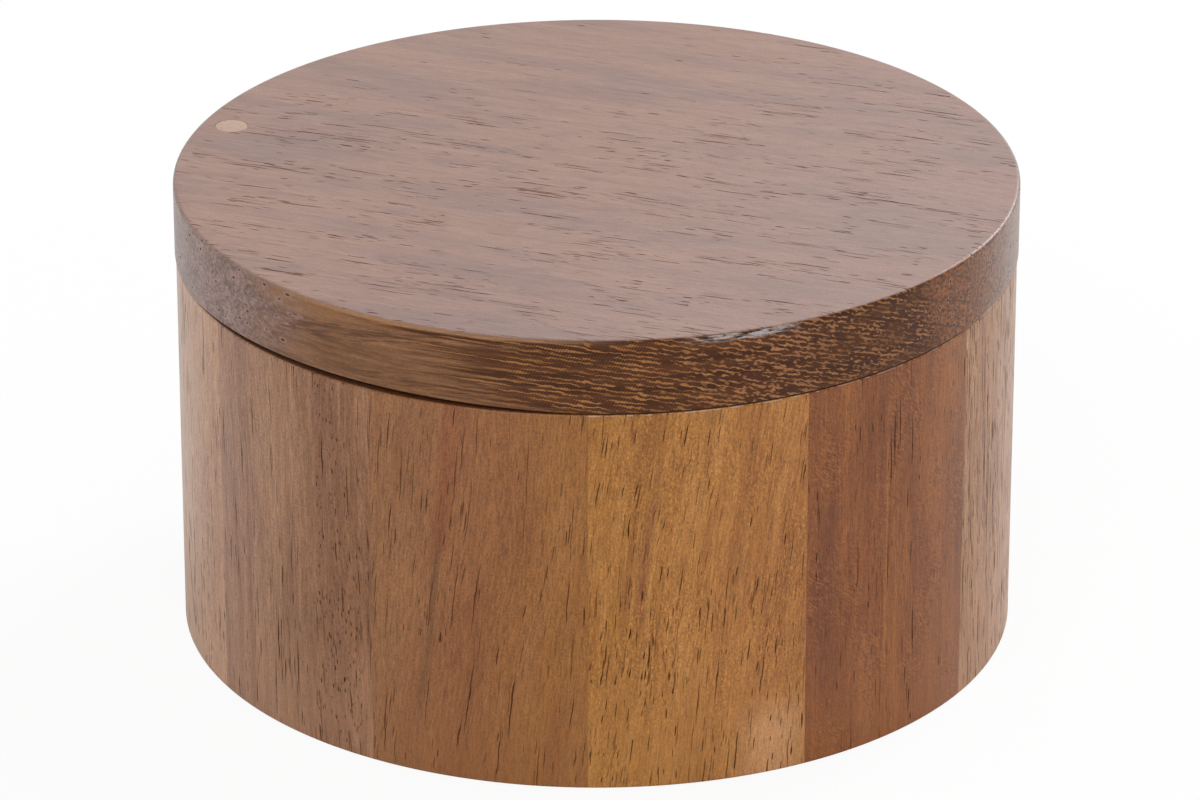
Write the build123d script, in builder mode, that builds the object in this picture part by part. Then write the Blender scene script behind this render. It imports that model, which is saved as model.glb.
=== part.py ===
"""Round staved salt box with a lid that swivels sideways on a vertical dowel.

Twelve upright staves are glued into a ring and turned, with a base disc let into a rebate from below.
A dowel glued through the lid turns in a long bore in the wall, and stands on the bore's floor, which
holds the lid just clear of the rim. A pair of small magnets opposite the dowel keeps the lid closed.

Millimetres, +Z up. The origin is the centre of the underside.
"""

from build123d import *
import math
import os

os.makedirs("parts", exist_ok=True)

# ---------------------------------------------------------------- driving dimensions
# The wall: a ring of mitred staves
body_diameter = 126.6
body_height = 59.8
wall_thickness = 9.5
stave_count = 12
first_joint_azimuth = -1.2  # degrees from +X to the first glue joint

# The base, let into the wall from below
base_thickness = 8.0
rebate_width = 4.0

# The lid
lid_overhang = 0.2  # how far the lid stands out past the wall
lid_thickness = 11.2
lid_gap = 0.4  # air between the rim and the lid's underside

# The pivot: a dowel glued in the lid, turning in the middle of the wall's thickness
dowel_diameter = 5.0
dowel_length = 40.0
pivot_azimuth = 162.0  # degrees from +X
dowel_tip_chamfer = 0.6

# The closing magnets, opposite the pivot
magnet_diameter = 5.0
magnet_thickness = 2.0
magnet_recess = 0.1  # how far each magnet lies below its surface

# Clearances
running_clearance = 0.08  # radial, dowel in the wall
glue_clearance = 0.02  # radial, round glued dowels, discs and magnets

# Eased edges
lid_top_ease = 0.65
lid_bottom_ease = 0.35
rim_outer_ease = 0.4
rim_inner_ease = 0.8
foot_ease = 0.4
base_edge_chamfer = 0.3
bore_mouth_chamfer = 0.3

# ---------------------------------------------------------------- derived sizes and places
outer_radius = body_diameter / 2
inner_radius = outer_radius - wall_thickness
rebate_radius = inner_radius + rebate_width
lid_radius = outer_radius + lid_overhang
lid_underside = body_height + lid_gap
lid_top = lid_underside + lid_thickness
stave_angle = 360 / stave_count

dowel_tip_height = lid_top - dowel_length
pivot_radius = (inner_radius + outer_radius) / 2
wall_bore_radius = dowel_diameter / 2 + running_clearance
lid_bore_radius = dowel_diameter / 2 + glue_clearance
magnet_pocket_radius = magnet_diameter / 2 + glue_clearance
magnet_pocket_depth = magnet_thickness + magnet_recess


def at_azimuth(radius, azimuth):
    """The plan position at a radius and an azimuth in degrees."""
    return (radius * math.cos(math.radians(azimuth)), radius * math.sin(math.radians(azimuth)))


def joint_plane(index):
    """The upright plane through the axis along glue joint number index, facing the next stave."""
    azimuth = first_joint_azimuth + index * stave_angle
    along = at_azimuth(1, azimuth)
    ahead = at_azimuth(1, azimuth + 90)
    return Plane(origin=(0, 0, 0), x_dir=(*along, 0), z_dir=(*ahead, 0))


pivot_point = at_azimuth(pivot_radius, pivot_azimuth)
magnet_point = at_azimuth(pivot_radius, pivot_azimuth + 180)

# ---------------------------------------------------------------- the turned wall
# The section of the ring lies in the plane of the first glue joint, with its local x outwards.
section_plane = Plane(
    origin=(0, 0, 0), x_dir=joint_plane(0).x_dir, z_dir=-joint_plane(0).z_dir
)

with BuildPart() as turned_wall:
    with BuildSketch(section_plane) as wall_section:
        with BuildLine():
            Polyline(
                (rebate_radius, 0),
                (outer_radius, 0),
                (outer_radius, body_height),
                (inner_radius, body_height),
                (inner_radius, base_thickness),
                (rebate_radius, base_thickness),
                close=True,
            )
        make_face()
        corners = wall_section.vertices()
        foot_corner = corners.group_by(Axis.Y)[0].sort_by(Axis.X)[-1]
        rim_corners = corners.group_by(Axis.Y)[-1].sort_by(Axis.X)
        fillet(foot_corner, foot_ease)
        fillet(rim_corners[0], rim_inner_ease)
        fillet(rim_corners[-1], rim_outer_ease)
    revolve(axis=Axis.Z)

    # The long blind bore for the pivot dowel, eased at its mouth
    with BuildSketch(Plane.XY.offset(body_height)):
        with Locations(pivot_point):
            Circle(wall_bore_radius)
    extrude(amount=dowel_tip_height - body_height, mode=Mode.SUBTRACT)
    chamfer(turned_wall.edges(Select.LAST).group_by(Axis.Z)[-1], bore_mouth_chamfer)

    # The shallow pocket for the rim's magnet
    with BuildSketch(Plane.XY.offset(body_height)):
        with Locations(magnet_point):
            Circle(magnet_pocket_radius)
    extrude(amount=-magnet_pocket_depth, mode=Mode.SUBTRACT)

# ---------------------------------------------------------------- the staves
# Each stave is the turned wall between two neighbouring glue joints.
for index in range(stave_count):
    with BuildPart() as stave:
        add(turned_wall.part)
        split(bisect_by=joint_plane(index), keep=Keep.TOP)
        split(bisect_by=joint_plane(index + 1), keep=Keep.BOTTOM)
    stave_name = f"stave_{index + 1:02d}"
    stave.part.label = stave_name
    export_step(stave.part, f"parts/{stave_name}.step")

# ---------------------------------------------------------------- the base
with BuildPart() as base_disc:
    with BuildSketch(Plane.XY):
        Circle(rebate_radius - glue_clearance)
    extrude(amount=base_thickness)
    chamfer(base_disc.edges().group_by(Axis.Z)[0], base_edge_chamfer)

base_disc.part.label = "base_disc"
export_step(base_disc.part, "parts/base_disc.step")

# ---------------------------------------------------------------- the lid
with BuildPart() as lid:
    with BuildSketch(Plane.XY.offset(lid_underside)):
        Circle(lid_radius)
    extrude(amount=lid_thickness)
    fillet(lid.edges().group_by(Axis.Z)[-1], lid_top_ease)
    fillet(lid.edges().group_by(Axis.Z)[0], lid_bottom_ease)

    # The dowel goes right through, so that its end shows in the top
    with BuildSketch(Plane.XY.offset(lid_underside)):
        with Locations(pivot_point):
            Circle(lid_bore_radius)
    extrude(amount=lid_thickness, mode=Mode.SUBTRACT)

    with BuildSketch(Plane.XY.offset(lid_underside)):
        with Locations(magnet_point):
            Circle(magnet_pocket_radius)
    extrude(amount=magnet_pocket_depth, mode=Mode.SUBTRACT)

lid.part.label = "lid"
export_step(lid.part, "parts/lid.step")

# ---------------------------------------------------------------- the pivot dowel
with BuildPart() as pivot_dowel:
    with BuildSketch(Plane.XY.offset(dowel_tip_height)):
        with Locations(pivot_point):
            Circle(dowel_diameter / 2)
    extrude(amount=dowel_length)
    chamfer(pivot_dowel.edges().group_by(Axis.Z)[0], dowel_tip_chamfer)

pivot_dowel.part.label = "pivot_dowel"
export_step(pivot_dowel.part, "parts/pivot_dowel.step")

# ---------------------------------------------------------------- the closing magnets
with BuildPart() as rim_magnet:
    with BuildSketch(Plane.XY.offset(body_height - magnet_pocket_depth)):
        with Locations(magnet_point):
            Circle(magnet_diameter / 2)
    extrude(amount=magnet_thickness)

rim_magnet.part.label = "rim_magnet"
export_step(rim_magnet.part, "parts/rim_magnet.step")

with BuildPart() as lid_magnet:
    with BuildSketch(Plane.XY.offset(lid_underside + magnet_recess)):
        with Locations(magnet_point):
            Circle(magnet_diameter / 2)
    extrude(amount=magnet_thickness)

lid_magnet.part.label = "lid_magnet"
export_step(lid_magnet.part, "parts/lid_magnet.step")
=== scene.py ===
"""Dresses the round staved salt box: its ring of staves, base, swivelling lid, dowel and magnets.

Every piece is a surface of revolution, or a stretch of one, worked out as whole numpy arrays around the
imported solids' own sizes. Each wooden piece is cut from a solid board pattern that runs through it, so
that faces, edges and end grain belong together. Pieces are sized in metres, and the patterns of their
finishes in millimetres.
"""

import logging
import math
from dataclasses import dataclass
from enum import Enum
from typing import Dict, Sequence, Tuple, Union

import bpy
import numpy as np
from mathutils import Euler, Matrix, Vector


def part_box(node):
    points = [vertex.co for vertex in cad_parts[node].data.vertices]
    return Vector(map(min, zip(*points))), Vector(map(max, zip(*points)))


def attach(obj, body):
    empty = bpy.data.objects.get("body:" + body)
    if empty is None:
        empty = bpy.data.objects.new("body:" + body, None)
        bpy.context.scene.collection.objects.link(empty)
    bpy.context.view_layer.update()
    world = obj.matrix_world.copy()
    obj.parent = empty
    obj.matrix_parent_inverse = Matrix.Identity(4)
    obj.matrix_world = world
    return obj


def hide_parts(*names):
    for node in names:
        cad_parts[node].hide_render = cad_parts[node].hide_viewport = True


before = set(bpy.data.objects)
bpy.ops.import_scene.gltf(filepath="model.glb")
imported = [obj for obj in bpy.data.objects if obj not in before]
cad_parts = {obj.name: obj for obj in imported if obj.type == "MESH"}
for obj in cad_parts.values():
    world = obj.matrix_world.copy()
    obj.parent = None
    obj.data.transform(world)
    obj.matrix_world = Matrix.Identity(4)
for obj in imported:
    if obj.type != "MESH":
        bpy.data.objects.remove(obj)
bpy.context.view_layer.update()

LOG = logging.getLogger("salt_box")

MM = 0.001
QUARTER = math.pi / 2
UP = Vector((0, 0, 1))

SHARP_ANGLE = math.radians(40)
CLOSE = 0.06 * MM
BORE_SIDES = 96

LID_OVERHANG = 0.2 * MM
WALL = 9.5 * MM
GLUE = 0.02 * MM
PIVOT_PLAY = 0.08 * MM

Point = Tuple[float, float]
Triple = Tuple[float, float, float]
Colour = Tuple[float, float, float, float]
Socket = bpy.types.NodeSocket
Term = Union[Socket, float]
Paint = Union[Socket, Colour]
Feed = Union[Socket, float, Sequence[float]]

# The two ends of a soft step in a value, then what the step gives there, unless that is 0 and 1.
Stretch = Tuple[float, ...]


# ---------------------------------------------------------------- small helpers


def srgb(red: int, green: int, blue: int) -> Colour:
    """Turns a display colour into the linear one that a shader takes.

    Args:
        red, green, blue: the display colour, 0 to 255 each.

    Returns:
        The linear colour with an alpha of 1. Each channel is ((c + 0.055) / 1.055) to the power 2.4.
    """
    linear = [((channel / 255 + 0.055) / 1.055) ** 2.4 for channel in (red, green, blue)]
    return (linear[0], linear[1], linear[2], 1.0)


def heading(azimuth: float) -> Vector:
    """Returns the level direction at an azimuth given in degrees from +X."""
    angle = math.radians(azimuth)
    return Vector((math.cos(angle), math.sin(angle), 0))


def corner_round(centre: Point, radius: float, start: float, steps: int = 6) -> np.ndarray:
    """Gives the points of a quarter round, anticlockwise in the (radius, height) plane.

    Args:
        centre: the round's centre.
        radius: its radius.
        start: the angle of its first point, in radians.
        steps: how many chords it has.

    Returns:
        An array of steps + 1 points: centre + radius * (cos, sin) of evenly spaced angles.
    """
    angles = start + np.linspace(0, QUARTER, steps + 1)
    return np.column_stack((centre[0] + radius * np.cos(angles), centre[1] + radius * np.sin(angles)))


def straight(start: Point, end: Point, steps: int) -> np.ndarray:
    """Gives points between two ends of a straight stretch, with one close to each end to hold the shading.

    Args:
        start, end: the ends, which are left out.
        steps: how many parts the stretch between the two close points has.

    Returns:
        The points: start + t * (end - start), for evenly spaced t from close to 0 to close to 1.
    """
    first, last = np.asarray(start, float), np.asarray(end, float)
    margin = CLOSE / float(np.linalg.norm(last - first))
    share = np.linspace(margin, 1 - margin, steps + 1)[:, None]
    return first + share * (last - first)


def strip_faces(rows: int, columns: int, close_rows: bool, close_columns: bool) -> np.ndarray:
    """Gives the four-sided faces of a grid of points numbered row by row.

    Args:
        rows, columns: the grid's size.
        close_rows: whether the last row joins the first.
        close_columns: whether the last column joins the first.

    Returns:
        An array of n by 4 point numbers, in the order (row, column), (row, column + 1),
        (row + 1, column + 1), (row + 1, column).
    """
    row = np.arange(rows if close_rows else rows - 1)[:, None]
    column = np.arange(columns if close_columns else columns - 1)[None, :]
    next_row, next_column = (row + 1) % rows, (column + 1) % columns
    corners = (
        row * columns + column,
        row * columns + next_column,
        next_row * columns + next_column,
        next_row * columns + column,
    )
    return np.stack([np.broadcast_to(c, (row.size, column.size)) for c in corners], -1).reshape(-1, 4)


def carried(section: np.ndarray, angles: np.ndarray, axis: Point = (0, 0)) -> np.ndarray:
    """Carries a section round an upright axis.

    Args:
        section: n (radius, height) points.
        angles: the m angles at which it stands, in radians.
        axis: the plan position of the axis.

    Returns:
        n * m points, numbered row by row: axis + radius * (cos a, sin a), at the section's heights.
    """
    x = axis[0] + section[:, :1] * np.cos(angles)
    y = axis[1] + section[:, :1] * np.sin(angles)
    z = np.broadcast_to(section[:, 1:], x.shape)
    return np.stack((x, y, z), -1).reshape(-1, 3)


def smooth(mesh: bpy.types.Mesh) -> None:
    """Shades a mesh smooth, apart from its sharp edges."""
    mesh.shade_smooth()
    mesh.set_sharp_from_angle(angle=SHARP_ANGLE)


def make_piece(name: str, points: np.ndarray, faces: Sequence[Sequence[int]]) -> bpy.types.Object:
    """Puts points and faces into a new smooth-shaded piece at the origin.

    Args:
        name: the piece's name.
        points: an array of n points, in metres.
        faces: each face's point numbers, anticlockwise from outside.

    Returns:
        The new object, linked to the scene.
    """
    mesh = bpy.data.meshes.new(name)
    mesh.from_pydata(points, [], [list(face) for face in faces])
    mesh.update()
    smooth(mesh)
    piece = bpy.data.objects.new(name, mesh)
    bpy.context.scene.collection.objects.link(piece)
    return piece


def turned(name: str, section: np.ndarray, axis: Point, columns: int) -> bpy.types.Object:
    """Turns a section that starts and ends on the axis into a closed piece.

    Args:
        name: the piece's name.
        section: (radius, height) points from the axis at the bottom to the axis at the top.
        axis: the plan position of the upright axis.
        columns: how many steps go round.

    Returns:
        The piece: the section at evenly spaced angles, with a single point for each of its two ends.
    """
    ring = section[1:-1]
    points = carried(ring, np.linspace(0, 2 * math.pi, columns, endpoint=False), axis)
    low, high = len(points), len(points) + 1
    points = np.vstack((points, (*axis, section[0, 1]), (*axis, section[-1, 1])))
    sides = strip_faces(len(ring), columns, False, True)
    here = np.arange(columns)
    ahead = (here + 1) % columns
    top_row = (len(ring) - 1) * columns
    bottom = np.column_stack((ahead, here, np.full(columns, low)))
    top = np.column_stack((top_row + here, top_row + ahead, np.full(columns, high)))
    return make_piece(name, points, [*sides.tolist(), *bottom.tolist(), *top.tolist()])


@dataclass(frozen=True)
class Bore:
    """An upright round hole between two heights."""

    centre: Point
    radius: float
    low: float
    high: float

    @property
    def azimuth(self) -> float:
        """Where it lies, in degrees from +X."""
        return math.degrees(math.atan2(self.centre[1], self.centre[0]))

    def cut(self, piece: bpy.types.Object) -> None:
        """Cuts the hole into a piece.

        Args:
            piece: the piece, whose mesh is replaced by the cut one.
        """
        section = np.array([(0, self.low), (self.radius, self.low), (self.radius, self.high), (0, self.high)])
        cutter = turned("cutter", section, self.centre, BORE_SIDES)
        cut = piece.modifiers.new("bore", "BOOLEAN")
        cut.operation = "DIFFERENCE"
        cut.solver = "EXACT"
        cut.object = cutter
        depsgraph = bpy.context.evaluated_depsgraph_get()
        mesh = bpy.data.meshes.new_from_object(piece.evaluated_get(depsgraph))
        old = piece.data
        piece.modifiers.clear()
        mesh.name = piece.name
        piece.data = mesh
        bpy.data.meshes.remove(old)
        bpy.data.objects.remove(cutter)
        smooth(mesh)


# ---------------------------------------------------------------- shader graphs


@dataclass(frozen=True)
class Lumps:
    """One kind of noise around 0.5.

    size is its lumps' size along each direction, in the place's units, and shift sets it apart from other
    noise. detail is how many finer layers it has, and rough how strong they are. Where span is set, the
    noise is softly stepped over that stretch, which makes patches of it.
    """

    size: Triple
    shift: float = 0.0
    detail: float = 2.0
    rough: float = 0.5
    span: Stretch = ()


@dataclass(frozen=True)
class Tones:
    """Colours that follow one another along a value, and the stop at which each is pure."""

    stops: Tuple[float, ...]
    colours: Tuple[Colour, ...]


class Graph:
    """A node tree, with short calls that add a node and link what goes into it."""

    SHIFT_PARTS = (1.0, 0.7, 1.3)

    def __init__(self, owner: Union[bpy.types.Material, bpy.types.World]) -> None:
        """Empties the owner's node tree.

        Args:
            owner: the material or the world whose tree this is.
        """
        self.owner = owner
        owner.use_nodes = True
        self.nodes = owner.node_tree.nodes
        self.links = owner.node_tree.links
        self.nodes.clear()

    def feed(self, socket: Socket, value: Feed) -> None:
        """Links a socket to another, or sets its own value."""
        if isinstance(value, bpy.types.NodeSocket):
            self.links.new(value, socket)
        else:
            socket.default_value = value

    def add(self, kind: str, *terms: Feed, **settings: object) -> bpy.types.Node:
        """Adds a node.

        Args:
            kind: the node's type.
            terms: what goes into its first inputs, in their order.
            settings: its settings, by name.

        Returns:
            The node.
        """
        node = self.nodes.new(kind)
        for key, value in settings.items():
            setattr(node, key, value)
        for socket, term in zip(node.inputs, terms):
            self.feed(socket, term)
        return node

    def named(self, kind: str, inputs: Dict[str, Feed], **settings: object) -> bpy.types.Node:
        """Adds a node.

        Args:
            kind: the node's type.
            inputs: what goes into its inputs, by name.
            settings: its settings, by name.

        Returns:
            The node.
        """
        node = self.add(kind, **settings)
        for key, value in inputs.items():
            self.feed(node.inputs[key], value)
        return node

    def end(self, shader: bpy.types.Node, kind: str = "ShaderNodeOutputMaterial") -> None:
        """Links a shader to the tree's output."""
        self.add(kind, shader.outputs[0])

    def math(self, operation: str, *terms: Term) -> Socket:
        """Works out an operation on one to three terms."""
        return self.add("ShaderNodeMath", *terms, operation=operation).outputs[0]

    def plus(self, first: Term, second: Term) -> Socket:
        """Adds two terms."""
        return self.math("ADD", first, second)

    def minus(self, first: Term, second: Term) -> Socket:
        """Takes the second term from the first."""
        return self.math("SUBTRACT", first, second)

    def most(self, first: Term, second: Term) -> Socket:
        """Gives the larger of two terms."""
        return self.math("MAXIMUM", first, second)

    def times(self, first: Term, *others: Term) -> Term:
        """Multiplies terms, from the first to the last."""
        for other in others:
            first = self.math("MULTIPLY", first, other)
        return first

    def line(self, value: Term, factor: Term, offset: Term) -> Socket:
        """Gives value * factor + offset."""
        return self.math("MULTIPLY_ADD", value, factor, offset)

    def apart(self, first: Term, second: Term) -> Socket:
        """Gives how far apart two terms lie."""
        return self.math("ABSOLUTE", self.minus(first, second))

    def wave(self, value: Term, pitch: float = 1.0) -> Socket:
        """Gives a sine of a value, with one wave to each pitch."""
        return self.math("SINE", self.times(value, 2 * math.pi / pitch))

    def step(self, value: Term, low: Term, high: Term, start: float = 0.0, end: float = 1.0) -> Socket:
        """Goes smoothly from start to end as the value goes from low to high."""
        node = self.add("ShaderNodeMapRange", value, low, high, start, end, interpolation_type="SMOOTHSTEP")
        return node.outputs["Result"]

    def window(self, value: Term, rise: Stretch, fall: Stretch) -> Socket:
        """Goes up over one stretch of the value and down over another."""
        return self.times(self.step(value, *rise), self.step(value, *fall))

    def scaled(self, place: Socket, size: Triple, shift: float) -> Socket:
        """Gives a place in units of a size, moved by a part of the shift along each direction."""
        terms = (place, [1 / s for s in size], [shift * part for part in self.SHIFT_PARTS])
        return self.add("ShaderNodeVectorMath", *terms, operation="MULTIPLY_ADD").outputs["Vector"]

    def noise(self, place: Socket, lumps: Lumps, shift: float = 0.0) -> Socket:
        """Gives one kind of noise.

        Args:
            place: the place that it is read at.
            lumps: the kind.
            shift: what is added to the kind's own shift.

        Returns:
            The noise, or its soft patches where the kind has a span.
        """
        inputs = {
            "Vector": self.scaled(place, lumps.size, lumps.shift + shift),
            "Scale": 1.0,
            "Detail": lumps.detail,
            "Roughness": lumps.rough,
        }
        value = self.named("ShaderNodeTexNoise", inputs, noise_dimensions="3D").outputs["Fac"]
        return self.step(value, *lumps.span) if lumps.span else value

    def wander(self, place: Socket, lumps: Lumps, reach: float, shift: float = 0.0) -> Socket:
        """Gives noise around 0 that goes up to a reach either way."""
        return self.line(self.noise(place, lumps, shift), 2 * reach, -reach)

    def cells(self, place: Socket, pitch: Triple, shift: float) -> Tuple[Socket, Socket]:
        """Scatters points.

        Args:
            place: the place that they are read at.
            pitch: how far apart they lie along each direction.
            shift: moves them.

        Returns:
            The distance to the nearest point, in pitches, and a random colour for each point.
        """
        inputs = {"Vector": self.scaled(place, pitch, shift), "Scale": 1.0}
        node = self.named("ShaderNodeTexVoronoi", inputs, voronoi_dimensions="3D", feature="F1")
        return node.outputs["Distance"], node.outputs["Color"]

    def parts(self, vector: Socket) -> Tuple[Socket, Socket, Socket]:
        """Splits a vector, or a colour, into its three parts."""
        node = self.add("ShaderNodeSeparateXYZ", vector)
        return node.outputs[0], node.outputs[1], node.outputs[2]

    def join(self, x: Term, y: Term, z: Term) -> Socket:
        """Joins three parts into a vector."""
        return self.add("ShaderNodeCombineXYZ", x, y, z).outputs[0]

    def between(self, share: Term, first: Term, second: Term) -> Socket:
        """Goes from one number to another as the share goes from 0 to 1."""
        return self.named("ShaderNodeMix", {"Factor": share, "A": first, "B": second}).outputs[0]

    def mix(self, share: Term, first: Paint, second: Paint) -> Socket:
        """Mixes two colours.

        Args:
            share: the share of the second colour, 0 to 1.
            first, second: the colours.

        Returns:
            The mixed colour.
        """
        node = self.named("ShaderNodeMix", {"Factor": share}, data_type="RGBA")
        self.feed(node.inputs[6], first)
        self.feed(node.inputs[7], second)
        return node.outputs[2]

    def ramp(self, value: Socket, tones: Tones) -> Socket:
        """Colours a value.

        Args:
            value: the value, 0 to 1.
            tones: the colours along it.

        Returns:
            The colour at the value, in a straight line between one stop and the next.
        """
        node = self.add("ShaderNodeValToRGB", value)
        elements = node.color_ramp.elements
        while len(elements) < len(tones.stops):
            elements.new(0.5)
        for element, stop, colour in zip(elements, tones.stops, tones.colours):
            element.position = stop
            element.color = colour
        return node.outputs["Color"]


def board_turn(depth: Vector, along: Vector) -> Euler:
    """Gives the turn that lays a board's own directions on X, Y and Z.

    Args:
        depth: the direction through the board's thickness.
        along: the direction of its grain.

    Returns:
        The turn after which X runs through the thickness, Y across the grain and Z along it.
    """
    return Matrix((depth, along.cross(depth), along)).to_euler("XYZ")


def board_place(graph: Graph, turn: Euler) -> Socket:
    """Gives each point's place in a board.

    Args:
        graph: the graph that the nodes go into.
        turn: the turn that lays the board's directions on X, Y and Z.

    Returns:
        The place, in millimetres: through the board, across it and along its grain.
    """
    inputs = {
        "Vector": graph.add("ShaderNodeTexCoord").outputs["Object"],
        "Rotation": turn,
        "Scale": (1 / MM, 1 / MM, 1 / MM),
    }
    return graph.named("ShaderNodeMapping", inputs, vector_type="POINT").outputs["Vector"]


# ---------------------------------------------------------------- timber


BAND = 0.55
PORE_SHARE = 0.95


@dataclass(frozen=True)
class Pores:
    """One kind of pore on a board.

    pitch is how far apart the scattered points lie through, across and along the board, and share is how
    many of them are pores. slim and stout are the thinnest and the thickest pore's half width, as parts of
    the pitch. Where spread is set, the pores lie within it of `middle`, across the board. Where top is
    set, they thin out below that height.
    """

    pitch: Triple
    share: float
    slim: float = 0.17
    stout: float = 0.36
    middle: float = 0.0
    spread: float = 0.0
    top: float = 0.0


class Timber(Graph):
    """A wooden piece's node tree, with its board's own places and the layers of figure in its grain.

    `through` runs through the board, `across` over its face and `along` with the grain. `follow` is what
    `across` becomes where the grain leans and bends, `flow` is the place that follows the grain in this
    way, and `ragged` is `flow` finely frayed.
    """

    WANDER = Lumps((15, 15, 42), 0, 1)
    FRAY = Lumps((0.7, 0.7, 3.2), 1, 1)
    FRAY_REACH = 0.45
    GRAIN = Lumps((0.3, 0.3, 0.36), 2, 1, 0.7)
    FIBRE = Lumps((0.22, 0.22, 2.4), 8, 1, 0.6)
    RELIEF = Lumps((0.3, 0.3, 9), 7, 2, 0.6)
    RELIEF_DEPTH = 0.014
    PORE_CORE = 0.6
    FAINTEST_PORE = 0.55
    SPREAD_CORE = 0.4
    TOP_FADE = 22
    PORE_DEPTH = 0.045
    PORE_ROUGHNESS = 0.4
    PORE_DULLNESS = 0.8

    def __init__(self, name: str, depth: Vector, along: Vector, shift: float, lean: float = 0.0,
                 bend: float = 1.5) -> None:
        """Starts a material and lays the places out for its board.

        Args:
            name: the material's name.
            depth: the direction through the board's thickness.
            along: the direction of its grain.
            shift: moves this board's noise away from the other boards'.
            lean: how far the grain moves across for each millimetre along.
            bend: how far it bends to and fro.
        """
        super().__init__(bpy.data.materials.new(name))
        self.shift = shift
        self.place = board_place(self, board_turn(depth, along))
        self.through, self.across, self.along = self.parts(self.place)
        leaned = self.line(self.along, -lean, self.across)
        self.follow = self.plus(leaned, self.wander(self.place, self.WANDER, bend, shift))
        self.flow = self.join(self.through, self.follow, self.along)
        frayed = self.line(self.still(self.FRAY), self.FRAY_REACH, self.follow)
        self.ragged = self.join(self.through, frayed, self.along)

    def bands(self, lumps: Lumps) -> Socket:
        """Gives one kind of noise that follows the grain."""
        return self.noise(self.flow, lumps, self.shift)

    def still(self, lumps: Lumps) -> Socket:
        """Gives one kind of noise that lies still where the grain leans and bends."""
        return self.noise(self.place, lumps, self.shift)

    def shaded(self, colour: Paint, value: Socket, strength: Term, dusk: Colour, glow: Colour,
               reach: float = 0.2) -> Socket:
        """Draws a colour towards dusk where a noise is high and towards glow where it is low.

        Args:
            colour: the colour to shade.
            value: noise around 0.5.
            strength: the greatest share of either colour.
            dusk, glow: the darker and the lighter colour.
            reach: how far from 0.5 the noise has to be for the full strength.

        Returns:
            The shaded colour.
        """
        darker = self.times(self.step(value, 0.5, 0.5 + reach), strength)
        lighter = self.times(self.step(value, 0.5, 0.5 - reach), strength)
        return self.mix(lighter, self.mix(darker, colour, dusk), glow)

    def spindles(self, pores: Pores, share: Term, shift: float) -> Socket:
        """Gives long thin pores scattered along the grain.

        Args:
            pores: their pitch and their girth.
            share: how many of the scattered points are pores, 0 to 1.
            shift: moves the scatter.

        Returns:
            0 outside a pore, rising softly to its own depth, 0.55 to 1, at its middle. A pore is the
            ellipsoid around its point, cut by the surface.
        """
        distance, chance = self.cells(self.ragged, pores.pitch, self.shift + shift)
        pick, girth, depth = self.parts(chance)
        reach = self.step(girth, 0.0, 1.0, pores.slim, pores.stout)
        spindle = self.step(distance, reach, self.times(reach, self.PORE_CORE))
        deep = self.step(depth, 0.0, 1.0, self.FAINTEST_PORE, 1.0)
        return self.times(spindle, self.times(self.math("LESS_THAN", pick, share), deep))

    def scattered(self, kinds: Sequence[Pores], cluster: Socket, shifts: Tuple[float, float]) -> Socket:
        """Gives several kinds of pore at once.

        Args:
            kinds: the kinds of pore.
            cluster: how many of them stand at each place, 0 to 1.
            shifts: the first kind's shift, and what each next kind adds to it.

        Returns:
            How deep in any pore a point is, 0 to 1.
        """
        every = 0.0
        for number, pores in enumerate(kinds):
            share = self.times(cluster, pores.share)
            if pores.spread:
                offset = self.apart(self.follow, pores.middle)
                share = self.times(share, self.step(offset, pores.spread, self.SPREAD_CORE * pores.spread))
            if pores.top:
                share = self.times(share, self.step(self.along, pores.top, pores.top - self.TOP_FADE))
            every = self.most(every, self.spindles(pores, share, shifts[0] + shifts[1] * number))
        return every

    def grit(self, colour: Socket, amount: float) -> Socket:
        """Speckles a colour with fine grains and short fibres.

        Args:
            colour: the colour.
            amount: how much lighter and darker they are.

        Returns:
            The speckled colour: colour * (1 + 2 * amount * (grain + fibre - 1)).
        """
        grain = self.still(self.GRAIN)
        both = self.plus(grain, self.noise(self.ragged, self.FIBRE, self.shift))
        inputs = {"Vector": colour, "Scale": self.line(both, 2 * amount, 1 - 2 * amount)}
        return self.named("ShaderNodeVectorMath", inputs, operation="SCALE").outputs["Vector"]

    def finish(self, colour: Socket, pores: Socket, gloss: float, shine: Term = 0.28) -> bpy.types.Material:
        """Ends the graph in a satin, finely fibrous skin with dull sunken pores.

        Args:
            colour: its colour.
            pores: how deep in a pore a point is, 0 to 1.
            gloss: its roughness between the pores.
            shine: its specular level between the pores.

        Returns:
            The finished material.
        """
        relief = self.times(self.noise(self.ragged, self.RELIEF, self.shift), self.RELIEF_DEPTH)
        height = self.line(pores, -self.PORE_DEPTH, relief)
        bump = self.named("ShaderNodeBump", {"Strength": 1.0, "Distance": MM, "Height": height})
        self.end(self.named("ShaderNodeBsdfPrincipled", {
            "Base Color": colour,
            "Normal": bump.outputs["Normal"],
            "Roughness": self.line(pores, self.PORE_ROUGHNESS, gloss),
            "Specular IOR Level": self.times(self.line(pores, -self.PORE_DULLNESS, 1.0), shine),
        }))
        return self.owner


# ---------------------------------------------------------------- the staves' boards


@dataclass(frozen=True)
class Smoke:
    """One soft streak of another colour that follows the grain, placed across the board and up it; one is a
    painted sheen.
    """

    across: float
    width: float
    low: float
    high: float
    strength: float
    colour: Colour


@dataclass(frozen=True)
class Board:
    """The colours and figure of one oiled board as its outside shows them."""

    tints: Tuple[Colour, Colour, Colour]
    dusk: Colour
    glow: Colour
    pores: Tuple[Pores, ...]
    lean: float = 0.0
    bend: float = 1.5
    clouds: float = 0.35
    streaks: float = 0.3
    mottle: float = 0.0
    ripple: float = 0.0
    smokes: Tuple[Smoke, ...] = ()
    # The field below sets the strength of a painted highlight along the rim's upper outer edge.
    rim_highlight: float = 0.0


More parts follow.
